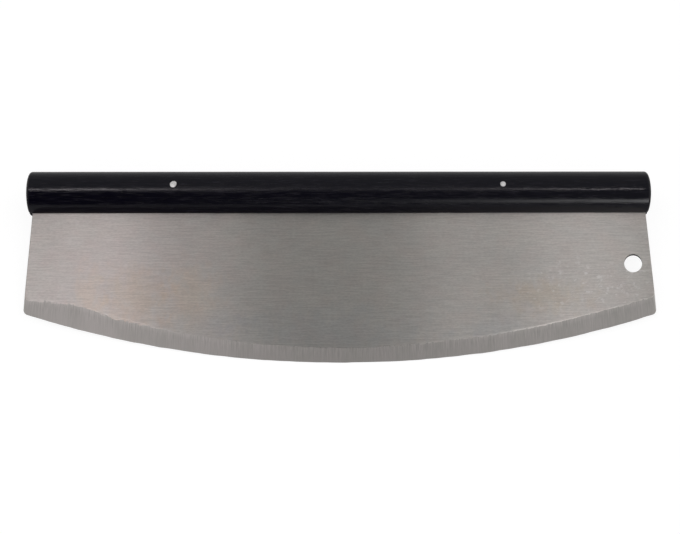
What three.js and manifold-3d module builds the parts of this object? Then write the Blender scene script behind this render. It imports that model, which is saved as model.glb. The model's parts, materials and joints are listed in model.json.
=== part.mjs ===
// Rocking pizza cutter: a curved blade held in the kerf of a round bar handle by two flush pins.
// Millimetres, +Z up. The cutter lies on a table, on the bar and on the lowest point of its edge.

import * as THREE from 'three';
import { mergeVertices } from 'three/addons/utils/BufferGeometryUtils.js';
import Module from 'manifold-3d';

const wasm = await Module();
wasm.setup();

// Handle: a turned bar with a saw kerf along its underside
const handleLength = 350;
const handleDiameter = 25;
const handleEndRound = 1.5;

// Blade: one flat sheet, its upper strip held inside the handle
const bladeEndInset = 1.7; // each side of a centred blade to the handle's end
const bladeShift = 0.3; // how far the blade sits right of the handle's middle
const bladeReach = 88; // underside of the handle to the lowest point of the edge
const bladeThickness = 2;
const cornerRadius = 3;
const tangAbovePins = 4; // metal left above the pin holes

// Cutting edge: one long arc, ground from both faces
const edgeRadius = 555;
const edgeLowOffset = 1.1; // lowest point of the arc, right of the blade's middle
const edgeThickness = 0.3;
const bevelWidth = 8.8; // ground band at the lowest point
const bevelWidthAtSides = 10.5; // ground band at the blade's sides

// Hanging hole, near the blade's right side
const hangHoleDiameter = 10.4;
const hangHoleFromSide = 9.9;
const hangHoleBelowHandle = 31;

// Pins through the handle and the tang
const pinDiameter = 3.4;
const leftPinFromEnd = 81.8;
const rightPinFromEnd = 83.3;

// Clearance of the tang in the kerf, and of the pins in their bores
const fitGap = 0.3;

// Spare length of a cutter past the surface that it cuts
const cutPast = 2;

// Facets on round forms
const handleFacets = 48;
const endRoundSteps = 5;
const edgeSteps = 64;
const cornerSteps = 6;
const holeFacets = 32;
const pinFacets = 20;
const bevelRingFacets = 600;

// Sizes that follow, in the blade's own axes: X along the handle, Y up the blade, Z out of its upper face,
// with the handle's centre line on X
const handleRadius = handleDiameter / 2;
const halfWidth = handleLength / 2 - bladeEndInset;
const bladeLeft = bladeShift - halfWidth;
const bladeRight = bladeShift + halfWidth;
const halfThickness = bladeThickness / 2;
const edgeLow = -handleRadius - bladeReach;
const edgeCentre = new THREE.Vector2(bladeShift + edgeLowOffset, edgeLow + edgeRadius);
const pinHoleRadius = pinDiameter / 2 + fitGap;
const tangTop = pinHoleRadius + tangAbovePins;
const plateTop = -handleRadius - fitGap;
const leftPinX = leftPinFromEnd - handleLength / 2;
const rightPinX = handleLength / 2 - rightPinFromEnd;

// Slope of the ground faces: the edge reaches its thickness where the ground band is widest
const widestBevel = Math.max(bevelWidth, bevelWidthAtSides);
const bevelSlope = (bladeThickness - edgeThickness) / 2 / widestBevel;

// Angle at which the cutter lies: the bar and the edge's lowest point both touch the table
const edgeHalf = halfThickness - bevelSlope * bevelWidth;
const layAngle = Math.asin(handleRadius / Math.hypot(edgeLow, edgeHalf)) - Math.atan2(edgeHalf, -edgeLow);

// How far an arc of this radius has risen from its lowest point, at a distance along X
function arcRise(radius, distance) {
  return radius - Math.sqrt(radius * radius - distance * distance);
}

function toSolid(geometry) {
  const bare = geometry.clone();
  bare.deleteAttribute('normal');
  bare.deleteAttribute('uv');
  const merged = mergeVertices(bare);
  const vertProperties = new Float32Array(merged.attributes.position.array);
  const triVerts = new Uint32Array(merged.index.array);
  return new wasm.Manifold(new wasm.Mesh({ numProp: 3, vertProperties, triVerts }));
}

function toGeometry(solid) {
  const mesh = solid.getMesh();
  const geometry = new THREE.BufferGeometry();
  geometry.setAttribute('position', new THREE.BufferAttribute(mesh.vertProperties, 3));
  geometry.setIndex(new THREE.BufferAttribute(mesh.triVerts, 1));
  geometry.computeVertexNormals();
  return geometry;
}

// A round rod across the blade, along Z
function crossRod(radius, facets, x, y) {
  const rod = new THREE.CylinderGeometry(radius, radius, handleDiameter + 2 * cutPast, facets);
  rod.rotateX(Math.PI / 2);
  rod.translate(x, y, 0);
  return toSolid(rod);
}

// A flat sheet of the blade's thickness
function sheet(outline) {
  const geometry = new THREE.ExtrudeGeometry(new THREE.Shape(outline), {
    depth: bladeThickness,
    bevelEnabled: false,
  });
  geometry.translate(0, 0, -halfThickness);
  return toSolid(geometry);
}

// Points along an arc about a centre, anticlockwise from one angle to another
function arcPoints(centre, radius, fromAngle, toAngle, steps) {
  const arc = new THREE.EllipseCurve(centre.x, centre.y, radius, radius, fromAngle, toAngle);
  return arc.getPoints(steps);
}

// Centre of the round between one side of the blade and the edge's arc
function cornerCentre(side) {
  const x = bladeShift + side * (halfWidth - cornerRadius);
  const reach = edgeRadius - cornerRadius;
  const across = x - edgeCentre.x;
  return new THREE.Vector2(x, edgeCentre.y - Math.sqrt(reach * reach - across * across));
}

// The sheet below the handle: straight sides, rounded corners and the edge's arc
function platePoints() {
  const left = cornerCentre(-1);
  const right = cornerCentre(1);
  const leftTangent = Math.atan2(left.y - edgeCentre.y, left.x - edgeCentre.x);
  const rightTangent = Math.atan2(right.y - edgeCentre.y, right.x - edgeCentre.x);
  return [
    new THREE.Vector2(bladeRight, plateTop),
    new THREE.Vector2(bladeLeft, plateTop),
    ...arcPoints(left, cornerRadius, -Math.PI, leftTangent, cornerSteps),
    ...arcPoints(edgeCentre, edgeRadius, leftTangent, rightTangent, edgeSteps).slice(1, -1),
    ...arcPoints(right, cornerRadius, rightTangent, 0, cornerSteps),
  ];
}

// The strip inside the handle, which runs on a little way into the plate
function tangPoints() {
  const foot = plateTop - cutPast;
  return [
    new THREE.Vector2(bladeLeft, foot),
    new THREE.Vector2(bladeRight, foot),
    new THREE.Vector2(bladeRight, tangTop),
    new THREE.Vector2(bladeLeft, tangTop),
  ];
}

// What the grinder takes off one face: a ring of wedge section, round the centre of the bevel's upper line
function bevelRing(face) {
  const sideRise = arcRise(edgeRadius, halfWidth) + bevelWidthAtSides - bevelWidth;
  const lineRadius = (halfWidth * halfWidth + sideRise * sideRise) / (2 * sideRise);
  const lineLow = edgeLow + bevelWidth;
  const reach = widestBevel + cutPast;
  const inner = new THREE.Vector2(lineRadius - cutPast, halfThickness + bevelSlope * cutPast);
  const outer = new THREE.Vector2(lineRadius + reach, halfThickness - bevelSlope * reach);
  const above = new THREE.Vector2(lineRadius + reach, halfThickness + cutPast);
  const ring = new THREE.LatheGeometry([inner, outer, above, inner], bevelRingFacets);
  ring.rotateX(Math.PI / 2);
  if (face < 0) ring.rotateX(Math.PI);
  ring.translate(edgeCentre.x, lineLow + lineRadius, 0);
  return toSolid(ring);
}

function makeBlade() {
  const hangHoleX = bladeRight - hangHoleFromSide;
  const hangHoleY = -handleRadius - hangHoleBelowHandle;
  return sheet(platePoints())
    .add(sheet(tangPoints()))
    .subtract(bevelRing(1))
    .subtract(bevelRing(-1))
    .subtract(crossRod(hangHoleDiameter / 2, holeFacets, hangHoleX, hangHoleY))
    .subtract(crossRod(pinHoleRadius, pinFacets, leftPinX, 0))
    .subtract(crossRod(pinHoleRadius, pinFacets, rightPinX, 0));
}

// The bar as turned, before sawing and drilling, with one facet line lowest as it lies
function makeBar() {
  const shoulder = handleLength / 2 - handleEndRound;
  const round = new THREE.Vector2(handleRadius - handleEndRound, shoulder);
  const farEnd = arcPoints(round, handleEndRound, 0, Math.PI / 2, endRoundSteps);
  const nearEnd = farEnd.map((point) => new THREE.Vector2(point.x, -point.y)).reverse();
  const profile = [
    new THREE.Vector2(0, -handleLength / 2),
    ...nearEnd,
    ...farEnd,
    new THREE.Vector2(0, handleLength / 2),
  ];
  const bar = new THREE.LatheGeometry(profile, handleFacets);
  bar.rotateZ(-Math.PI / 2);
  bar.rotateX(-layAngle);
  return toSolid(bar);
}

// The kerf, sawn from below and out through both ends
function makeKerf() {
  const kerfTop = tangTop + fitGap;
  const depth = kerfTop + handleRadius + cutPast;
  const kerf = new THREE.BoxGeometry(handleLength + 2 * cutPast, depth, bladeThickness + 2 * fitGap);
  kerf.translate(0, kerfTop - depth / 2, 0);
  return toSolid(kerf);
}

function makeHandle(bar) {
  return bar
    .subtract(makeKerf())
    .subtract(crossRod(pinHoleRadius, pinFacets, leftPinX, 0))
    .subtract(crossRod(pinHoleRadius, pinFacets, rightPinX, 0));
}

// A pin, dressed flush with the bar on both sides
function makePin(bar, x) {
  return crossRod(pinDiameter / 2, pinFacets, x, 0).intersect(bar);
}

const stainedWood = { color: 0x1b1a1d, roughness: 0.38, metalness: 0 };
const brushedSteel = { color: 0xa7a29b, roughness: 0.36, metalness: 1 };
const pinSteel = { color: 0xcfcecb, roughness: 0.3, metalness: 1 };

function namedMesh(name, solid, finish) {
  const mesh = new THREE.Mesh(toGeometry(solid), new THREE.MeshStandardMaterial(finish));
  mesh.name = name;
  return mesh;
}

const bar = makeBar();
const lyingCutter = new THREE.Group();
lyingCutter.rotation.x = layAngle;
lyingCutter.add(namedMesh('handle', makeHandle(bar), stainedWood));
lyingCutter.add(namedMesh('blade', makeBlade(), brushedSteel));
lyingCutter.add(namedMesh('rivet_left', makePin(bar, leftPinX), pinSteel));
lyingCutter.add(namedMesh('rivet_right', makePin(bar, rightPinX), pinSteel));

// Origin on the table, under the middle of the part
const extent = new THREE.Box3().setFromObject(lyingCutter, true);
const middle = extent.getCenter(new THREE.Vector3());
lyingCutter.position.set(-middle.x, -middle.y, -extent.min.z);

const pizzaCutter = new THREE.Group();
pizzaCutter.add(lyingCutter);

export default pizzaCutter;
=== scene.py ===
import json
import math
import random

import bpy
from mathutils import Euler, Matrix, Vector


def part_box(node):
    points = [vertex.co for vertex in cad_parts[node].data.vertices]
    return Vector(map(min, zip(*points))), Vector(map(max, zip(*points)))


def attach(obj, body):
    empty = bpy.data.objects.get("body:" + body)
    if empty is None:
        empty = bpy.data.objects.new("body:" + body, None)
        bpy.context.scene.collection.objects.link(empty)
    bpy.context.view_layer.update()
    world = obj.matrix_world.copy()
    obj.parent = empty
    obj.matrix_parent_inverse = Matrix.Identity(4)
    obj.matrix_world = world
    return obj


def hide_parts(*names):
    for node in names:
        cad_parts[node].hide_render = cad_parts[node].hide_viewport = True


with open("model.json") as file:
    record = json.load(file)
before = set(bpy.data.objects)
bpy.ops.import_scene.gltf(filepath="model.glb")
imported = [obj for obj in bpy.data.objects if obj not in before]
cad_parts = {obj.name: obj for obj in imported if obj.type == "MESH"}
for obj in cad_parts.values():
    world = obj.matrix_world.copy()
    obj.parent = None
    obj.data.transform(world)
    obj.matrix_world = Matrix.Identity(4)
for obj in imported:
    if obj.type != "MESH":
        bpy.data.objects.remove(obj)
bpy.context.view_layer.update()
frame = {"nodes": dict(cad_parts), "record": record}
mm = 0.001

# Blade axes: x along the bar, v up the blade, n out of its upper face, zero on the bar's centre line
mounts = {m["name"]: m for m in frame["record"]["mounts"]}
upperSpot = Vector(mounts["blade_upper_face"]["pos_m"])
lowerSpot = Vector(mounts["blade_lower_face"]["pos_m"])
outOfBlade = Vector(mounts["blade_upper_face"]["axis"]).normalized()
alongBar = Vector((1, 0, 0))
upBlade = outOfBlade.cross(alongBar)
barLow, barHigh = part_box("handle")
bladeAxes = Matrix((alongBar, upBlade, outOfBlade)).transposed().to_4x4()
bladeAxes.translation = (barLow + barHigh) / 2
toBlade = bladeAxes.inverted()

# Sizes of the solids, in mm
barLength = (barHigh.x - barLow.x) / mm
barRadius = (barHigh.z - barLow.z) / 2 / mm
halfSheet = (upperSpot - lowerSpot).dot(outOfBlade) / 2 / mm
bladeCorners = [toBlade @ v.co / mm for v in frame["nodes"]["blade"].data.vertices]
bladeLeft = min(c.x for c in bladeCorners)
bladeRight = max(c.x for c in bladeCorners)
edgeLow = min(c.y for c in bladeCorners)
tangTop = max(c.y for c in bladeCorners)
print("frame: bar", round(barLength, 1), "x", round(2 * barRadius, 1), "edge at", round(edgeLow, 1))


# Helpers for meshes, which are drawn in mm and in blade axes
def addToScene(name, data):
    made = bpy.data.objects.new(name, data)
    bpy.context.scene.collection.objects.link(made)
    return made


def newPiece(name, rings, faces, finishes, faceFinish=None):
    mesh = bpy.data.meshes.new(name)
    mesh.from_pydata([Vector(p) * mm for ring in rings for p in ring], [], faces)
    for finish in finishes:
        mesh.materials.append(finish)
    if faceFinish:
        mesh.polygons.foreach_set("material_index", faceFinish)
    mesh.validate()
    mesh.shade_smooth()
    piece = addToScene(name, mesh)
    piece.matrix_world = bladeAxes
    return piece


# Quads from each ring of points to the next
def joinRings(rings):
    size = len(rings[0])
    faces = []
    for i in range(len(rings) - 1):
        for j in range(size):
            a = i * size + j
            b = i * size + (j + 1) % size
            faces.append((a, b, b + size, a + size))
    return faces


# The same, with the first ring and the last closed
def joinAndCap(rings):
    size = len(rings[0])
    last = (len(rings) - 1) * size
    faces = joinRings(rings)
    faces.append(tuple(reversed(range(size))))
    faces.append(tuple(range(last, last + size)))
    return faces


def lathe(name, profile, segments, x, v):
    rings = []
    for radius, n in profile:
        turns = [2 * math.pi * s / segments for s in range(segments)]
        rings.append([(x + radius * math.cos(t), v + radius * math.sin(t), n) for t in turns])
    return newPiece(name, rings, joinAndCap(rings), [])


def cutAway(piece, cutter):
    cut = piece.modifiers.new("cut", "BOOLEAN")
    cut.operation = "DIFFERENCE"
    cut.solver = "EXACT"
    cut.object = cutter
    bpy.context.view_layer.update()
    evaluated = piece.evaluated_get(bpy.context.evaluated_depsgraph_get())
    old = piece.data
    piece.data = bpy.data.meshes.new_from_object(evaluated)
    piece.data.name = piece.name
    piece.modifiers.clear()
    bpy.data.meshes.remove(old)
    bpy.data.objects.remove(cutter)


# Crisp where the surface turns sharply, and where two finishes meet
def sharpen(piece, degrees):
    mesh = piece.data
    mesh.shade_smooth()
    mesh.set_sharp_from_angle(angle=math.radians(degrees))
    finishOf = {}
    for face in mesh.polygons:
        for key in face.edge_keys:
            finishOf.setdefault(key, set()).add(face.material_index)
    for edge in mesh.edges:
        if len(finishOf.get(edge.key, ())) > 1:
            edge.use_edge_sharp = True


# Helpers for finishes
def startFinish(name):
    finish = bpy.data.materials.new(name)
    finish.use_nodes = True
    return finish, finish.node_tree, finish.node_tree.nodes["Principled BSDF"]


def add(tree, kind, feeds, **settings):
    made = tree.nodes.new("ShaderNode" + kind)
    for key, value in settings.items():
        setattr(made, key, value)
    for key, feed in feeds.items():
        if isinstance(feed, bpy.types.NodeSocket):
            tree.links.new(feed, made.inputs[key])
        else:
            made.inputs[key].default_value = feed
    return made


def maths(tree, way, first, second=0.0):
    return add(tree, "Math", {0: first, 1: second}, operation=way).outputs[0]


def plus(tree, first, second):
    return maths(tree, "ADD", first, second)


def times(tree, first, second):
    return maths(tree, "MULTIPLY", first, second)


def blendValues(tree, share, first, second):
    return add(tree, "Mix", {0: share, 2: first, 3: second}).outputs[0]


def mixColour(tree, share, first, second, way="MIX"):
    mixed = add(tree, "Mix", {0: share, 6: first, 7: second}, data_type="RGBA", blend_type=way)
    return mixed.outputs[2]


def tinted(tree, share, colour, tint):
    return mixColour(tree, share, colour, tint, "MULTIPLY")


# From low to high while the value crosses the span
def remap(tree, value, span, low=0.0, high=1.0):
    feeds = {"Value": value, "From Min": span[0], "From Max": span[1], "To Min": low, "To Max": high}
    return add(tree, "MapRange", feeds).outputs["Result"]


# Up to 1 across the first span, down to 0 across the second
def between(tree, value, upSpan, downSpan):
    return times(tree, remap(tree, value, upSpan), remap(tree, value, downSpan, 1.0, 0.0))


def objectPlace(tree):
    return add(tree, "TexCoord", {}).outputs["Object"]


def axisOf(tree, vector, axis):
    return add(tree, "SeparateXYZ", {"Vector": vector}).outputs[axis]


# From one value at the sheet's nearer face to another below it, between two depths in mm
def byDepth(tree, depths, atFace, below):
    fromMiddle = maths(tree, "ABSOLUTE", axisOf(tree, objectPlace(tree), "Z"))
    shallow, deep = (mm * (halfSheet - depth) for depth in depths)
    return remap(tree, fromMiddle, (deep, shallow), below, atFace)


# Noise stretched along the axes: how often it changes in a metre, its detail, and an offset
def stretched(tree, scale, detail, offset=(0, 0, 0), roughness=0.6):
    mapped = add(tree, "Mapping", {"Vector": objectPlace(tree), "Scale": scale, "Location": offset})
    feeds = {"Vector": mapped.outputs[0], "Scale": 1.0, "Detail": detail, "Roughness": roughness}
    return add(tree, "TexNoise", feeds).outputs["Fac"]


# Noise in strokes turned away from the bar: degrees, length and width in mm, detail
def slanted(tree, degrees, length, width, detail):
    feeds = {
        "Vector": objectPlace(tree),
        "Rotation": (0, 0, math.radians(degrees)),
        "Scale": (length * mm, width * mm, 1),
    }
    mapped = add(tree, "Mapping", feeds, vector_type="TEXTURE").outputs[0]
    return add(tree, "TexNoise", {"Vector": mapped, "Scale": 1.0, "Detail": detail}).outputs["Fac"]


def dress(tree, shader, spec, colour, rough, relief):
    tree.links.new(colour, shader.inputs["Base Color"])
    tree.links.new(rough, shader.inputs["Roughness"])
    shader.inputs["Metallic"].default_value = spec["metallic"]
    feeds = {"Strength": spec["bump"], "Distance": spec["bumpDepth"] * mm, "Height": relief}
    tree.links.new(add(tree, "Bump", feeds).outputs[0], shader.inputs["Normal"])


# Stretches the gloss of brushed or ground steel, with its tangent up the blade
def stretchGloss(tree, shader, anisotropy):
    up = add(tree, "CombineXYZ", {"X": 0, "Y": 1, "Z": 0}).outputs[0]
    turned = add(tree, "VectorTransform", {"Vector": up}, vector_type="VECTOR")
    turned.convert_from = "OBJECT"
    turned.convert_to = "WORLD"
    tree.links.new(turned.outputs[0], shader.inputs["Tangent"])
    shader.inputs["Anisotropic"].default_value = anisotropy


# A soft-edged, frayed spot on the blade, 1 in its middle and 0 outside
spotSpec = {
    "fray": ((190, 110, 1), 3.0),
    "fraySpan": (0.3, 0.7),
    "edgeSpan": (0.25, 1.1),  # shares of its reach between which it fades out
}


def softSpot(tree, centre, reach, fray):
    spec = spotSpec
    scale = (1 / (reach[0] * mm), 1 / (reach[1] * mm), 0)
    shift = (-centre[0] / reach[0], -centre[1] / reach[1], 0)
    moved = add(tree, "Mapping", {"Vector": objectPlace(tree), "Location": shift, "Scale": scale})
    away = add(tree, "VectorMath", {0: moved.outputs[0]}, operation="LENGTH").outputs["Value"]
    ragged = remap(tree, stretched(tree, *spec["fray"]), spec["fraySpan"], -fray, fray)
    return remap(tree, plus(tree, away, ragged), spec["edgeSpan"], 1.0, 0.0)


# Blade finish: long lines brushed along the bar
brushedSpec = {
    "steel": (0.515, 0.497, 0.465, 1),
    "paleLine": (0.640, 0.618, 0.579, 1),
    # noise of the brushing: strands, then grain and long streaks mixed in by these shares
    "strands": ((90, 1120, 1), 1.0),
    "grain": ((560, 1450, 1), 1.0, (1, 5, 0)),
    "grainShare": 0.46,
    "streaks": ((12, 760, 1), 3.0, (3, 0, 0)),
    "streakShare": 0.15,
    "lineSpan": (0.38, 0.62),
    # broad changes of tone
    "clouds": ((30, 60, 1), 3.0, (0, 7, 0)),
    "cloudSpan": (0.4, 0.65),
    "cloudTint": (0.965, 0.975, 0.985, 1),
    "blush": ((75, 90, 1), 2.0, (8, 1, 0)),
    "blushSpan": (0.42, 0.62),
    "blushTint": (1.0, 0.975, 0.975, 1),
    "tints": {
        "warm": (1.0, 0.957, 0.895, 1),
        "tan": (1.055, 1.012, 0.95, 1),
        "cool": (0.95, 0.972, 1.0, 1),
        # painted light: pink tint of the overhead light the blade reflects at its left
        "paintedPinkLight": (1.0, 0.966, 0.978, 1),
        # painted light: brightens the upper middle of the blade
        "pale": (1.07, 1.07, 1.07, 1),
    },
    # stains on the sheet, then two tints of painted light: tint, place and reach in x and v, how far the
    # outline frays
    "stainsAndPaintedLight": (
        ("warm", (-113, -63), (20, 22), 0.5),
        ("tan", (-138, -62), (9, 20), 0.5),
        ("tan", (-82, -62), (17, 22), 0.5),
        ("warm", (112, -63), (28, 11), 0.5),
        ("cool", (-66, -78), (15, 9), 0.5),
        ("cool", (-8, -83), (64, 15), 0.5),
        ("cool", (82, -80), (17, 9), 0.5),
        # painted light: pink tint where the blade reflects the overhead light at its left
        ("paintedPinkLight", (-118, -50), (70, 50), 0.3),
        # painted light: a broad brightening of the blade's upper middle, below the bar
        ("pale", (65, -12), (150, 26), 0.1),
    ),
    # pale rub marks near the hanging hole: dabs and slanted nicks
    "rubSpot": ((140, -57), (50, 22), 0.3),
    "dabs": ((260, 320, 1), 2.0, (5, 2, 0)),
    "dabSpan": (0.58, 0.67),
    "nicks": (38, 4.0, 0.7, 2.0),
    "nickSpan": (0.62, 0.70),
    "nickMost": 0.8,
    "rubShare": 0.8,
    "rubColour": (0.74, 0.725, 0.705, 1),
    # rim above the band: depth below the face, then how its tone changes from x to x, as painted shade at
    # the left and a painted highlight at the right
    "rimDepth": (0.002, 0.012),
    "rimPaintedLight": ((-145, -110, 0.87), (-85, -45, 1.15), (60, 100, 1.21)),
    # roughness over the lines, then what clouds and rub marks add
    "roughSpan": (0.35, 0.65),
    "roughness": (0.288, 0.312),
    "cloudRough": (-0.005, 0.005),
    "rubRough": 0.02,
    "metallic": 1.0,
    "anisotropy": 1.0,
    "bump": 0.3,
    "bumpDepth": 0.01,
}


def brushedSteel():
    spec = brushedSpec
    finish, tree, shader = startFinish("brushed_sheet")
    strands = stretched(tree, *spec["strands"])
    grain = stretched(tree, *spec["grain"])
    streaks = stretched(tree, *spec["streaks"])
    clouds = stretched(tree, *spec["clouds"])
    blush = stretched(tree, *spec["blush"])
    lines = blendValues(tree, spec["grainShare"], strands, grain)
    lines = blendValues(tree, spec["streakShare"], lines, streaks)
    colour = mixColour(tree, remap(tree, lines, spec["lineSpan"]), spec["steel"], spec["paleLine"])
    colour = tinted(tree, remap(tree, clouds, spec["cloudSpan"]), colour, spec["cloudTint"])
    colour = tinted(tree, remap(tree, blush, spec["blushSpan"]), colour, spec["blushTint"])
    # stains, and two tints of painted light at the end of the list
    for tint, centre, reach, fray in spec["stainsAndPaintedLight"]:
        colour = tinted(tree, softSpot(tree, centre, reach, fray), colour, spec["tints"][tint])

    dabs = remap(tree, stretched(tree, *spec["dabs"]), spec["dabSpan"])
    nicks = remap(tree, slanted(tree, *spec["nicks"]), spec["nickSpan"], 0.0, spec["nickMost"])
    rubbed = times(tree, maths(tree, "MAXIMUM", dabs, nicks), softSpot(tree, *spec["rubSpot"]))
    colour = mixColour(tree, times(tree, rubbed, spec["rubShare"]), colour, spec["rubColour"])

    # painted shade on the rim above the band at the left, painted highlight on it at the right
    along = axisOf(tree, objectPlace(tree), "X")
    paintedRimLight = 1.0
    for start, end, change in spec["rimPaintedLight"]:
        paintedRimLight = times(tree, paintedRimLight, remap(tree, along, (start * mm, end * mm), 1.0, change))
    colour = tinted(tree, byDepth(tree, spec["rimDepth"], 0.0, 1.0), colour, paintedRimLight)

    rough = remap(tree, lines, spec["roughSpan"], *spec["roughness"])
    rough = plus(tree, rough, remap(tree, clouds, spec["roughSpan"], *spec["cloudRough"]))
    rough = plus(tree, rough, times(tree, rubbed, spec["rubRough"]))
    stretchGloss(tree, shader, spec["anisotropy"])
    dress(tree, shader, spec, colour, rough, lines)
    return finish


# Ground band: short strokes across the edge
groundSpec = {
    "steel": (0.372, 0.357, 0.341, 1),
    "paleLine": (0.519, 0.497, 0.477, 1),
    "strokes": ((1450, 60, 1), 2.0),
    "fine": ((2400, 160, 1), 1.0, (0, 4, 0)),
    "fineShare": 0.45,
    "lineSpan": (0.37, 0.63),
    "patches": ((70, 30, 1), 3.0, (9, 0, 0)),
    "patchSpan": (0.4, 0.65),
    "patchTint": (0.968, 0.978, 0.968, 1),
    # strokes calm down towards the edge: depth below the face, how far, and the share of pale they settle at
    "calmDepth": (0.25, 0.6),
    "calm": 0.55,
    "calmShare": 0.5,
    # strokes get paler towards the ridge: depth below the face, and where this begins from the middle
    "fadeDepth": (0.03, 0.25),
    "fadeStart": (30, 90),
    "fadeTint": (1.15, 1.15, 1.15, 1),
    "roughSpan": (0.35, 0.65),
    "roughness": (0.40, 0.48),
    "patchRough": (-0.015, 0.015),
    "metallic": 1.0,
    "anisotropy": 0.67,
    "bump": 0.35,
    "bumpDepth": 0.02,
}


def groundSteel():
    spec = groundSpec
    finish, tree, shader = startFinish("ground_band")
    strokes = stretched(tree, *spec["strokes"])
    fine = stretched(tree, *spec["fine"])
    patches = stretched(tree, *spec["patches"])
    lines = blendValues(tree, spec["fineShare"], strokes, fine)
    calm = byDepth(tree, spec["calmDepth"], 0.0, spec["calm"])
    share = blendValues(tree, calm, remap(tree, lines, spec["lineSpan"]), spec["calmShare"])
    colour = mixColour(tree, share, spec["steel"], spec["paleLine"])
    colour = tinted(tree, remap(tree, patches, spec["patchSpan"]), colour, spec["patchTint"])

    start, full = (mm * x for x in spec["fadeStart"])
    fromMiddle = maths(tree, "ABSOLUTE", axisOf(tree, objectPlace(tree), "X"))
    fade = times(tree, byDepth(tree, spec["fadeDepth"], 1.0, 0.0), remap(tree, fromMiddle, (start, full)))
    colour = tinted(tree, fade, colour, spec["fadeTint"])

    rough = remap(tree, lines, spec["roughSpan"], *spec["roughness"])
    rough = plus(tree, rough, remap(tree, patches, spec["roughSpan"], *spec["patchRough"]))
    stretchGloss(tree, shader, spec["anisotropy"])
    dress(tree, shader, spec, colour, rough, lines)
    return finish


# Wall of the punched hole: dull and torn through the sheet, its colour darkened far below steel as painted
# shade
punchedSpec = {
    # both colours are painted shade, for the shadowed floor under the blade that the wall faces
    "paintedShadeDark": (0.02, 0.019, 0.018, 1),
    "torn": (0.075, 0.07, 0.066, 1),
    "tears": ((2600, 2600, 160), 3.0),
    "roughSpan": (0.3, 0.7),
    "roughness": (0.42, 0.62),
    "metallic": 1.0,
    "bump": 0.4,
    "bumpDepth": 0.05,
}


def punchedSteel():
    spec = punchedSpec
    finish, tree, shader = startFinish("punched_wall_painted_shade")
    tears = stretched(tree, *spec["tears"])
    colour = mixColour(tree, tears, spec["paintedShadeDark"], spec["torn"])
    rough = remap(tree, tears, spec["roughSpan"], *spec["roughness"])
    dress(tree, shader, spec, colour, rough, tears)
    return finish


# Blade: one sheet, straight sides, rounded corners, rocking edge ground from both faces
bladeSpec = {
    # arc of the edge: radius, its lowest point above the solid's, and where that is along x
    "edgeRadius": 549.0,
    "edgeLift": 0.15,
    "edgeLowX": 1.4,
    "cornerRadius": 3.0,
    "edgeBreak": 0.08,  # sharp sides of the sheet taken off
    # half thickness left at the edge, where the band is widest and for each mm that it is narrower
    "tipHalf": 0.06,
    "tipGain": 0.047,
    # columns along the sheet: pitch, degrees round a corner, shares of the broken side
    "columnPitch": 0.5,
    "cornerTurns": range(10, 66, 8),
    "sideShares": (1.0, 0.6, 0.3, 0.1, 0.0),
    # rows down the sheet: one each side of the bar's surface, then down to just above the ridge
    "barRow": 1.0,
    "plateRows": 7,
    "ridgeRow": 0.3,
    "rim": 0.35,  # brushed strip left between the ridge and the longest strokes
    # down the ground band from the ridge: share of its width, share of its depth
    "bandRows": ((0.25, 0.24), (0.5, 0.495), (0.75, 0.75), (1.0, 1.0)),
    # width of the hand-ground band along the blade, as (x, width)
    "bandWidth": (
        (-186, 6.0),
        (-143, 12.5),
        (-118, 10.5),
        (-88, 9.35),
        (-10, 7.75),
        (70, 8.9),
        (155, 9.9),
        (173.6, 9.45),
    ),
    # how far single strokes of the grinder overrun the band's upper line, as (x, overrun)
    "strokes": (
        (-173, 0.6),
        (-162, 1.7),
        (-118, 1.6),
        (-95, 0.9),
        (-40, 1.0),
        (55, 1.0),
        (105, 0.8),
        (173.6, 0.8),
    ),
    "strokeChance": 0.45,  # that the next column starts a new stroke
    "longStroke": 0.6,  # share of the overrun that lies above the mean line
    "edgeWander": 0.12,  # how far the edge strays from its arc
    "wanderPitch": 5.0,
    "wanderSpare": 3,  # values drawn past the right side
    # hanging hole, drawn a little out of round: reach in x, lean of x with v, reach in v
    "holeShape": (5.04, 0.53, 5.42),
    "holeShift": (-0.27, 0.2),  # from the middle of the solid's hole
    "holeBreak": 0.03,  # sharp upper rim taken off
    "holeTear": 0.01,  # share by which the punch tore it wider below
    "holeSlant": 0.45,  # how far the wall runs over in x, from the upper face to the lower
    "holeSegments": 96,
    "wallReach": 0.5,  # a face this near the hole, and this steep, belongs to its wall
    "wallSteep": 0.5,
    "cutPast": 1.0,  # how far a cutter runs past the faces
    "boreGap": 0.06,  # clearance round a pin
    "crispAngle": 25,
    "seed": 11,
}
brushed, ground, punched = range(3)  # order of the blade's finishes


def smoothBetween(points, x):
    for (x0, y0), (x1, y1) in zip(points, points[1:]):
        if x <= x1:
            t = max(0.0, (x - x0) / (x1 - x0))
            return y0 + (y1 - y0) * t * t * (3 - 2 * t)
    return points[-1][1]


def drift(values, t):
    i = int(t)
    share = (t - i) ** 2 * (3 - 2 * (t - i))
    return values[i] * (1 - share) + values[i + 1] * share


# Height of the edge at x: one long arc, met by a rounded corner at each side
def edgeAt(x):
    spec = bladeSpec
    big, small = spec["edgeRadius"], spec["cornerRadius"]
    centreV = edgeLow + spec["edgeLift"] + big
    for side in (-1, 1):
        cornerX = bladeRight - small if side > 0 else bladeLeft + small
        across = cornerX - spec["edgeLowX"]
        cornerV = centreV - math.sqrt((big - small) ** 2 - across ** 2)
        tangentX = cornerX + small * across / (big - small)
        if side * (x - tangentX) > 0:
            return cornerV - math.sqrt(max(0.0, small ** 2 - (x - cornerX) ** 2))
    return centreV - math.sqrt(big ** 2 - (x - spec["edgeLowX"]) ** 2)


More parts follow.
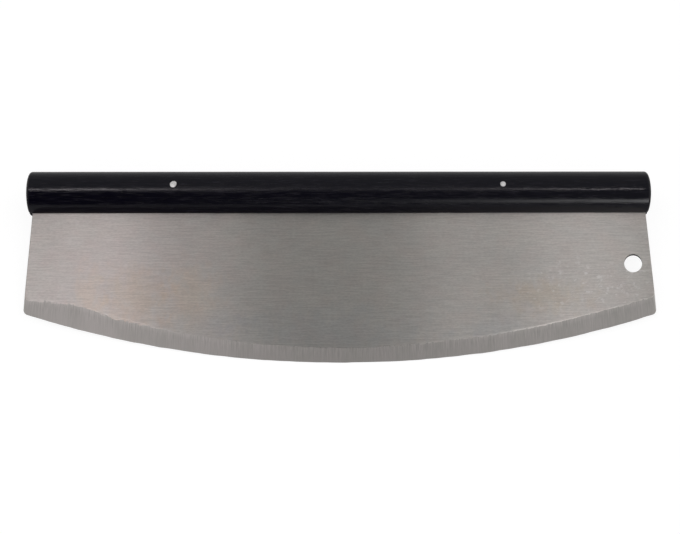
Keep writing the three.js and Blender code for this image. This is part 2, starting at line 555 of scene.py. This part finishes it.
def bladeColumns():
    spec = bladeSpec
    small, crisp = spec["cornerRadius"], spec["edgeBreak"]
    first, last = bladeLeft + small, bladeRight - small
    count = round((last - first) / spec["columnPitch"])
    middle = [first + (last - first) * i / count for i in range(count + 1)]
    ends = [small * (1 - math.sin(math.radians(a))) for a in spec["cornerTurns"]]
    ends += [crisp * share for share in spec["sideShares"]]
    return [bladeLeft + e for e in reversed(ends)] + middle + [bladeRight - e for e in ends]


# One column's points, down the upper face and back up the lower
def bladeRing(x, edge, width, line, ridge):
    spec = bladeSpec
    crisp, full = spec["edgeBreak"], halfSheet
    inset = min(x - bladeLeft, bladeRight - x)
    if inset < crisp:
        full = halfSheet - crisp + math.sqrt(max(0.0, crisp ** 2 - (crisp - inset) ** 2))
    rows, top, last = spec["plateRows"], -barRadius - spec["barRow"], ridge + spec["ridgeRow"]
    upper = [(tangTop, full), (-barRadius + spec["barRow"], full)]
    upper += [(top + (last - top) * r / rows, full) for r in range(rows + 1)]
    widest = max(w for _, w in spec["bandWidth"])
    tip = min(spec["tipHalf"] + spec["tipGain"] * max(0.0, widest - width), full)
    drop = ridge - edge
    firstDown, firstDeep = spec["bandRows"][0]
    lineDeep = firstDeep * (ridge - line) / (drop * firstDown)
    upper += [(ridge, full), (line, full + (tip - full) * lineDeep)]
    for down, deep in spec["bandRows"]:
        upper.append((ridge - drop * down, full + (tip - full) * deep))
    return [(x, v, n) for v, n in upper] + [(x, v, -n) for v, n in reversed(upper)]


def bladeRings():
    spec = bladeSpec
    dice = random.Random(spec["seed"])
    pitch = spec["wanderPitch"]
    wanderCount = int((bladeRight - bladeLeft) / pitch) + spec["wanderSpare"]
    wander = [dice.uniform(-1, 1) for _ in range(wanderCount)]
    rings = []
    stroke = 0.0
    for x in bladeColumns():
        if dice.random() < spec["strokeChance"]:
            stroke = dice.random() + spec["longStroke"] - 1
        edge = edgeAt(x) + spec["edgeWander"] * drift(wander, (x - bladeLeft) / pitch)
        width = smoothBetween(spec["bandWidth"], x)
        overrun = smoothBetween(spec["strokes"], x)
        line = edge + width + overrun * stroke
        ridge = edge + width + overrun * spec["longStroke"] + spec["rim"]
        rings.append(bladeRing(x, edge, width, line, ridge))
    return rings


def makeBlade():
    spec = bladeSpec
    rings = bladeRings()
    ringSize = len(rings[0])
    faces = joinRings(rings)
    # two rows at the bar, the plate's rows and the ridge's row are brushed, and the band comes after them
    bandStart = 2 + (spec["plateRows"] + 1) + 1
    finishOf = []
    for face in faces:
        row = face[0] % ringSize
        row = min(row, ringSize - 2 - row) if row < ringSize - 1 else 0
        finishOf.append(ground if row >= bandStart else brushed)
    # both sides of the sheet, closed by quads from the upper face to the lower
    last = (len(rings) - 1) * ringSize
    for j in range(ringSize // 2 - 1):
        k = ringSize - 1 - j
        faces.append((j + 1, j, k, k - 1))
        faces.append((last + j, last + j + 1, last + k - 1, last + k))
        finishOf += [brushed, brushed]
    finishes = [brushedSteel(), groundSteel(), punchedSteel()]
    blade = newPiece("blade_sheet", rings, faces, finishes, finishOf)
    punchHole(blade)
    boreForPins(blade, spec["boreGap"], halfSheet + spec["cutPast"])
    sharpen(blade, spec["crispAngle"])
    return blade


# Hanging hole, its rim broken, its wall left as punched
def punchHole(blade):
    spec = bladeSpec
    across, lean, up = spec["holeShape"]
    past, rim, torn = halfSheet + spec["cutPast"], spec["holeBreak"], 1 + spec["holeTear"]
    flare = 1 + (spec["cutPast"] + rim) / up
    profile = [(torn, -past), (torn, -halfSheet), (1.0, halfSheet - rim), (flare, past)]
    holeBox = frame["record"]["physics"]["openings"][0]["box_m"]
    middle = toBlade @ ((Vector(holeBox[0]) + Vector(holeBox[1])) / 2) / mm
    holeX, holeV = middle.x + spec["holeShift"][0], middle.y + spec["holeShift"][1]
    cutter = lathe("hole_cutter", profile, spec["holeSegments"], 0.0, 0.0)
    for corner in cutter.data.vertices:
        x, v, n = corner.co / mm
        slide = spec["holeSlant"] * (halfSheet - n) / (2 * halfSheet)
        corner.co = Vector((holeX + across * x + lean * v + slide, holeV + up * v, n)) * mm
    cutAway(blade, cutter)
    for face in blade.data.polygons:
        away = math.hypot(face.center.x / mm - holeX, face.center.y / mm - holeV)
        if away < up + spec["wallReach"] and abs(face.normal.z) < spec["wallSteep"]:
            face.material_index = punched


# Bar finish: black stain under a satin lacquer
woodSpec = {
    "stain": (0.0011, 0.0008, 0.0046, 1),
    "paleGrain": (0.0105, 0.0094, 0.0150, 1),
    "poreColour": (0.0015, 0.0014, 0.0018, 1),
    "endGrain": (0.017, 0.0125, 0.010, 1),
    "bareWood": (0.040, 0.023, 0.013, 1),
    "fibres": ((110, 1050, 1050), 3.0),
    "fibreSpan": (0.5, 0.74),
    "pores": ((120, 2300, 2300), 2.0, (4, 0, 0)),
    "poreSpan": (0.56, 0.68),
    "poreShare": 0.7,
    "specks": ((40, 1700, 1700), 4.0),  # on the sawn ends
    "speckSpan": (0.42, 0.66),
    "rubs": ((260, 420, 420), 4.0, (0, 3, 0)),  # on the rounded rims of the ends
    "rubSpan": (0.52, 0.66),
    "rubShare": 0.75,
    # how far the surface faces along the bar on an end, and on the rim round it
    "endFacing": (0.8, 0.97),
    "rimFacing": ((0.12, 0.5), (0.75, 0.95)),
    # roughness over the fibres, then what is added in pores, on ends and rims, and along x in mm
    "roughSpan": (0.35, 0.65),
    "roughness": (0.122, 0.222),
    "poreRough": 0.08,
    "endRough": 0.22,
    "outwards": ((70, 170), (0.08, -0.02)),
    "leftToRight": ((-170, 170), (0.01, -0.042)),
    "gloss": 0.28,
    "metallic": 0.0,
    # relief: fibres with finer ones mixed in, and pores sunk below them
    "fine": ((420, 1500, 1500), 2.0, (2, 6, 0)),
    "fineShare": 0.45,
    "poreDepth": 0.25,
    "bump": 0.5,
    "bumpDepth": 0.1,
}


def blackWood():
    spec = woodSpec
    finish, tree, shader = startFinish("black_stained_wood")
    fibres = stretched(tree, *spec["fibres"])
    pores = remap(tree, stretched(tree, *spec["pores"]), spec["poreSpan"])
    specks = remap(tree, stretched(tree, *spec["specks"]), spec["speckSpan"])
    rubs = remap(tree, stretched(tree, *spec["rubs"]), spec["rubSpan"])
    normal = add(tree, "TexCoord", {}).outputs["Normal"]
    facing = maths(tree, "ABSOLUTE", axisOf(tree, normal, "X"))
    onEnd = remap(tree, facing, spec["endFacing"])
    worn = times(tree, between(tree, facing, *spec["rimFacing"]), rubs)
    colour = mixColour(tree, remap(tree, fibres, spec["fibreSpan"]), spec["stain"], spec["paleGrain"])
    colour = mixColour(tree, times(tree, pores, spec["poreShare"]), colour, spec["poreColour"])
    colour = mixColour(tree, times(tree, onEnd, specks), colour, spec["endGrain"])
    colour = mixColour(tree, times(tree, worn, spec["rubShare"]), colour, spec["bareWood"])

    rough = remap(tree, fibres, spec["roughSpan"], *spec["roughness"])
    rough = plus(tree, rough, times(tree, pores, spec["poreRough"]))
    along = axisOf(tree, objectPlace(tree), "X")
    fromMiddle = maths(tree, "ABSOLUTE", along)
    for where, change in ((fromMiddle, spec["outwards"]), (along, spec["leftToRight"])):
        (start, end), amounts = change
        rough = plus(tree, rough, remap(tree, where, (start * mm, end * mm), *amounts))
    rough = plus(tree, rough, times(tree, maths(tree, "MAXIMUM", onEnd, worn), spec["endRough"]))

    relief = blendValues(tree, spec["fineShare"], fibres, stretched(tree, *spec["fine"]))
    relief = maths(tree, "SUBTRACT", relief, times(tree, pores, spec["poreDepth"]))
    shader.inputs["Specular IOR Level"].default_value = spec["gloss"]
    dress(tree, shader, spec, colour, rough, relief)
    return finish


# Bar: turned rod, eased ends, saw kerf along its underside
barSpec = {
    "endRound": 1.5,
    "endSteps": 9,
    "endSpare": 0.25,  # how much longer than the solid at each end
    "stationPitch": 4.0,
    "arcSteps": 150,
    "kerfGap": 0.12,
    "kerfSpare": 0.3,  # room left above the tang
    "kerfLip": 0.35,
    "lipEase": 0.3,  # share of the lip at which its slope turns
    # slow unevenness left by the sanding: waves round the bar, pitch along it, depth
    "waves": ((3, 95.0, 0.02), (5, 61.0, 0.016), (7, 37.0, 0.012), (9, 23.0, 0.008)),
    "waveTurn": 1.7,
    "fullBack": (154, 0.3, 4),  # a fuller back: degrees round from the kerf, depth, how narrow it is
    "cutPast": 2.0,
    "boreGap": 0.04,
    "crispAngle": 30,
}


# Radius at x and a turn from the kerf: the sanding only takes wood off, and the back is fuller
def barSkin(x, turn, radius):
    spec = barSpec
    deepest = sum(depth for _, _, depth in spec["waves"])
    swell = 0.0
    for waves, pitch, depth in spec["waves"]:
        about = math.sin(waves * turn + spec["waveTurn"] * waves)
        swell += depth * about * math.cos(2 * math.pi * x / pitch + waves)
    where, depth, narrow = spec["fullBack"]
    back = max(0.0, math.cos(turn - math.radians(where))) ** narrow
    return radius - 0.5 * (deepest - swell) + depth * back


def barRing(x, radius):
    spec = barSpec
    half, lip = halfSheet + spec["kerfGap"], spec["kerfLip"]
    ease = spec["lipEase"] * lip
    mouth = math.sqrt(radius ** 2 - half ** 2)
    start = math.asin((half + lip) / radius)
    kerfTop = tangTop + spec["kerfSpare"]
    kerfSide = [(kerfTop, half), (-mouth + lip, half), (-mouth + ease, half + ease)]
    ring = list(kerfSide)
    for i in range(spec["arcSteps"] + 1):
        turn = start + (2 * math.pi - 2 * start) * i / spec["arcSteps"]
        skin = barSkin(x, turn, radius)
        ring.append((-skin * math.cos(turn), skin * math.sin(turn)))
    ring += [(v, -n) for v, n in reversed(kerfSide)]
    return [(x, v, n) for v, n in ring]


def makeBar():
    spec = barSpec
    ease, steps = spec["endRound"], spec["endSteps"]
    inner = barLength / 2 + spec["endSpare"] - ease
    turns = [math.pi / 2 * i / steps for i in range(steps + 1)]
    ends = [(inner + ease * math.sin(t), barRadius - ease + ease * math.cos(t)) for t in turns]
    count = round(2 * inner / spec["stationPitch"])
    stations = [(-x, radius) for x, radius in reversed(ends)]
    stations += [(-inner + 2 * inner * i / count, barRadius) for i in range(1, count)]
    stations += ends
    rings = [barRing(x, radius) for x, radius in stations]
    bar = newPiece("handle_bar", rings, joinAndCap(rings), [blackWood()])
    boreForPins(bar, spec["boreGap"], barRadius + spec["cutPast"])
    sharpen(bar, spec["crispAngle"])
    return bar


# Pin finish: bright steel, scuffed by the dressing
brightSpec = {
    "steel": (0.62, 0.61, 0.605, 1),
    "pale": (0.97, 0.965, 0.955, 1),
    "scuffs": ((1500, 2100, 900), 3.0),
    "scuffSpan": (0.32, 0.6),
    "roughSpan": (0.3, 0.7),
    "roughness": (0.39, 0.55),
    "metallic": 1.0,
    "bump": 0.3,
    "bumpDepth": 0.1,
}


def brightSteel():
    spec = brightSpec
    finish, tree, shader = startFinish("bright_pin")
    scuffs = stretched(tree, *spec["scuffs"])
    colour = mixColour(tree, remap(tree, scuffs, spec["scuffSpan"]), spec["steel"], spec["pale"])
    rough = remap(tree, scuffs, spec["roughSpan"], *spec["roughness"])
    dress(tree, shader, spec, colour, rough, scuffs)
    return finish


# Pins: hammered flush, so each end is a little uneven and crowned
pinSpec = {
    # lean: degrees at which the oval is longest; rise: height above the bar's centre line;
    # proud: height of the crown; dimple: depth of the mark in its middle
    "sides": {
        "left": {
            "radius": 1.88,
            "oval": 0.075,
            "lean": 66,
            "rise": 0.42,
            "proud": 0.09,
            "dimple": 0.0,
            "seed": 3,
        },
        "right": {
            "radius": 1.55,
            "oval": 0.035,
            "lean": 90,
            "rise": 0.36,
            "proud": 0.08,
            "dimple": 0.05,
            "seed": 8,
        },
    },
    "segments": 48,
    # rings from the rim inwards, as shares of the radius: three at the rim, then even ones
    "rimShares": (1.0, 0.985, 0.95),
    "faceShare": 0.9,
    "faceRings": 10,
    # dents round the outline: how many kinds, lobes of the first, depth
    "dentKinds": 6,
    "firstLobes": 3,
    "dentDepth": 0.018,
    "sunkRim": 0.06,
    "crownPower": 0.8,
    "dimpleReach": 0.45,
    "crispAngle": 50,
}


def pinX(side):
    low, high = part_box("rivet_" + side)
    return (low.x + high.x) / 2 / mm


def boreForPins(piece, gap, past):
    for side, pin in pinSpec["sides"].items():
        bore = pin["radius"] * (1 + pin["oval"]) + gap
        profile = [(bore, -past), (bore, past)]
        cutAway(piece, lathe("bore_cutter", profile, pinSpec["segments"], pinX(side), pin["rise"]))


def pinOutline(pin, dents, turn):
    spec = pinSpec
    oval = pin["oval"] * math.cos(2 * (turn - math.radians(pin["lean"])))
    dented = sum(d * math.cos((k + spec["firstLobes"]) * turn + k) for k, d in enumerate(dents))
    return 1 + oval + spec["dentDepth"] * dented


def pinRing(side, dents, share, face):
    spec = pinSpec
    pin = spec["sides"][side]
    crown = pin["proud"] * (1 - share ** 2) ** spec["crownPower"] - spec["sunkRim"]
    crown -= pin["dimple"] * max(0.0, 1 - (share / spec["dimpleReach"]) ** 2) ** 2
    ring = []
    for s in range(spec["segments"]):
        turn = 2 * math.pi * s / spec["segments"]
        reach = pin["radius"] * share * pinOutline(pin, dents, turn)
        x = pinX(side) + reach * math.cos(turn)
        v = pin["rise"] + reach * math.sin(turn)
        skin = math.sqrt(barSkin(x, math.pi / 2, barRadius) ** 2 - v ** 2)
        ring.append((x, v, face * (skin + crown)))
    return ring


def makePin(side, finish):
    spec = pinSpec
    dice = random.Random(spec["sides"][side]["seed"])
    dents = [dice.uniform(-1, 1) for _ in range(spec["dentKinds"])]
    count = spec["faceRings"]
    shares = list(spec["rimShares"]) + [spec["faceShare"] * (1 - i / count) for i in range(count)]
    rings = [pinRing(side, dents, share, -1) for share in reversed(shares)]
    rings += [pinRing(side, dents, share, 1) for share in shares]
    piece = newPiece("pin_" + side, rings, joinAndCap(rings), [finish])
    sharpen(piece, spec["crispAngle"])
    return piece


blade = makeBlade()
print("blade:", len(blade.data.polygons), "faces")
bar = makeBar()
print("bar:", len(bar.data.polygons), "faces")
pinFinish = brightSteel()
pins = {side: makePin(side, pinFinish) for side in pinSpec["sides"]}
print("pins:", sorted(pins))

for piece, node, slotName in (
    (blade, "blade", "blade_steel"),
    (bar, "handle", "stained_wood"),
    (pins["left"], "rivet_left", "pin_steel"),
    (pins["right"], "rivet_right", "pin_steel"),
):
    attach(piece, "root")
    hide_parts(node)

# Camera, placed in the blade's axes: mm, degrees, then the lens on its sensor
cameraSpec = {
    "at": (-10.6, -297.1, 620.8),
    "turn": (22.117, -0.79, -0.442),
    "lens": 63.82,
    "sensor": 36.0,
}


def makeCamera():
    spec = cameraSpec
    lens = bpy.data.cameras.new("photo_camera")
    lens.lens = spec["lens"]
    lens.sensor_width = spec["sensor"]
    camera = addToScene("photo_camera", lens)
    turn = Euler([math.radians(a) for a in spec["turn"]], "XYZ").to_matrix().to_4x4()
    camera.matrix_world = bladeAxes @ Matrix.Translation(Vector(spec["at"]) * mm) @ turn
    bpy.context.scene.camera = camera


# Floor: white to the eye, pale in reflections, and it keeps the shadow
floorSpec = {
    "half": 6.0,
    "paper": 0.5,
    "seenPaper": 0.16,
    "seenGlow": 0.9,
    "mirrored": 0.22,  # how much of the seen white shows in reflections
}


def makeFloor():
    spec = floorSpec
    h = spec["half"]
    mesh = bpy.data.meshes.new("floor")
    mesh.from_pydata([(-h, -h, 0), (h, -h, 0), (h, h, 0), (-h, h, 0)], [], [(0, 1, 2, 3)])
    finish, tree, shader = startFinish("white_floor")
    path = add(tree, "LightPath", {}).outputs
    bounced = maths(tree, "MAXIMUM", path["Is Glossy Ray"], path["Is Transmission Ray"])
    bounced = times(tree, bounced, spec["mirrored"])
    seen = maths(tree, "MAXIMUM", path["Is Camera Ray"], bounced)
    paper, shown = spec["paper"], spec["seenPaper"]
    colour = mixColour(tree, seen, (paper, paper, paper, 1), (shown, shown, shown, 1))
    tree.links.new(colour, shader.inputs["Base Color"])
    shader.inputs["Roughness"].default_value = 1.0
    shader.inputs["Specular IOR Level"].default_value = 0.0
    shader.inputs["Emission Color"].default_value = (1, 1, 1, 1)
    tree.links.new(times(tree, seen, spec["seenGlow"]), shader.inputs["Emission Strength"])
    mesh.materials.append(finish)
    floor = addToScene("floor", mesh)


# Light: a dim room behind, a dark front, pale walls at both sides, a glow low in front on the right,
# and a row of panels overhead with a gap in the middle
lightSpec = {
    "room": 0.41,
    "frontLeft": 0.035,
    "frontMiddle": 0.115,
    "frontRight": 0.315,
    "horizon": 0.5,
    "frontHorizon": 0.055,
    "wallLow": 0.5,
    "wallHigh": 1.05,
    "frontGlow": 3.8,
    "backdrop": 1.0,  # what the camera sees past the floor
    # where one zone of the world gives way to the next, as spans of the direction's x, y or z
    "leftToMiddle": (-0.25, 0.08),
    "middleToRight": (0.08, 0.28),
    "frontToBack": (-0.3, 0.0),
    "aboveHorizon": (0.1, 0.3),
    "towardsWall": (0.36, 0.54),
    "upWall": (0.1, 0.42),
    "glowInX": ((0.07, 0.27), (0.38, 0.52)),
    "glowInY": (-0.5, -0.6),
    "glowInZ": ((0.08, 0.27), (0.38, 0.52)),
    # overhead panels, in metres
    "panelTint": (1.0, 0.935, 0.97),
    "panelLean": 0.4,  # degrees from the blade's normal, towards the edge
    "panelLift": 2.4,
    "panelWidth": 0.14,
    # each panel's ends along x, and its glow
    "panels": (
        (-1.02, -0.66, 12.0),
        (-0.66, -0.45, 17.0),
        (-0.37, -0.24, 7.5),
        (0.27, 0.41, 7.2),
        (0.52, 0.82, 10.1),
    ),
}


def makeWorld():
    spec = lightSpec
    world = bpy.data.worlds.new("studio")
    bpy.context.scene.world = world
    world.use_nodes = True
    tree = world.node_tree
    direction = add(tree, "TexCoord", {}).outputs["Generated"]
    x, y, z = (axisOf(tree, direction, axis) for axis in "XYZ")
    front = remap(tree, x, spec["leftToMiddle"], spec["frontLeft"], spec["frontMiddle"])
    front = blendValues(tree, remap(tree, x, spec["middleToRight"]), front, spec["frontRight"])
    towardsBack = remap(tree, y, spec["frontToBack"])
    grey = blendValues(tree, towardsBack, front, spec["room"])
    horizon = blendValues(tree, towardsBack, spec["frontHorizon"], spec["horizon"])
    level = blendValues(tree, remap(tree, z, spec["aboveHorizon"], 1.0, 0.0), grey, horizon)
    sideways = remap(tree, maths(tree, "ABSOLUTE", x), spec["towardsWall"])
    wall = remap(tree, z, spec["upWall"], spec["wallLow"], spec["wallHigh"])
    level = blendValues(tree, sideways, level, wall)
    patch = times(tree, between(tree, z, *spec["glowInZ"]), between(tree, x, *spec["glowInX"]))
    patch = times(tree, patch, remap(tree, y, spec["glowInY"]))
    level = plus(tree, level, times(tree, patch, spec["frontGlow"]))
    seen = add(tree, "LightPath", {}).outputs["Is Camera Ray"]
    level = blendValues(tree, seen, level, spec["backdrop"])
    background = tree.nodes["Background"]
    background.inputs["Color"].default_value = (1, 1, 1, 1)
    tree.links.new(level, background.inputs["Strength"])


def makePanels():
    spec = lightSpec
    lean = math.radians(spec["panelLean"])
    towards = bladeAxes.to_3x3() @ Vector((0, -math.sin(lean), math.cos(lean)))
    middle = bladeAxes.translation + towards * spec["panelLift"]
    for start, end, glow in spec["panels"]:
        lamp = bpy.data.lights.new("overhead_panel", "AREA")
        lamp.shape = "RECTANGLE"
        lamp.size = end - start
        lamp.size_y = spec["panelWidth"]
        lamp.energy = glow * math.pi * (end - start) * spec["panelWidth"]
        lamp.color = spec["panelTint"]
        panel = addToScene("overhead_panel", lamp)
        panel.location = middle + Vector(((start + end) / 2, 0, 0))
        panel.rotation_euler = (math.atan2(-towards.y, towards.z), 0, 0)
        panel.visible_camera = False


makeCamera()
makeFloor()
makeWorld()
makePanels()
bpy.context.scene.view_settings.view_transform = "Standard"
print("camera, floor and light set")
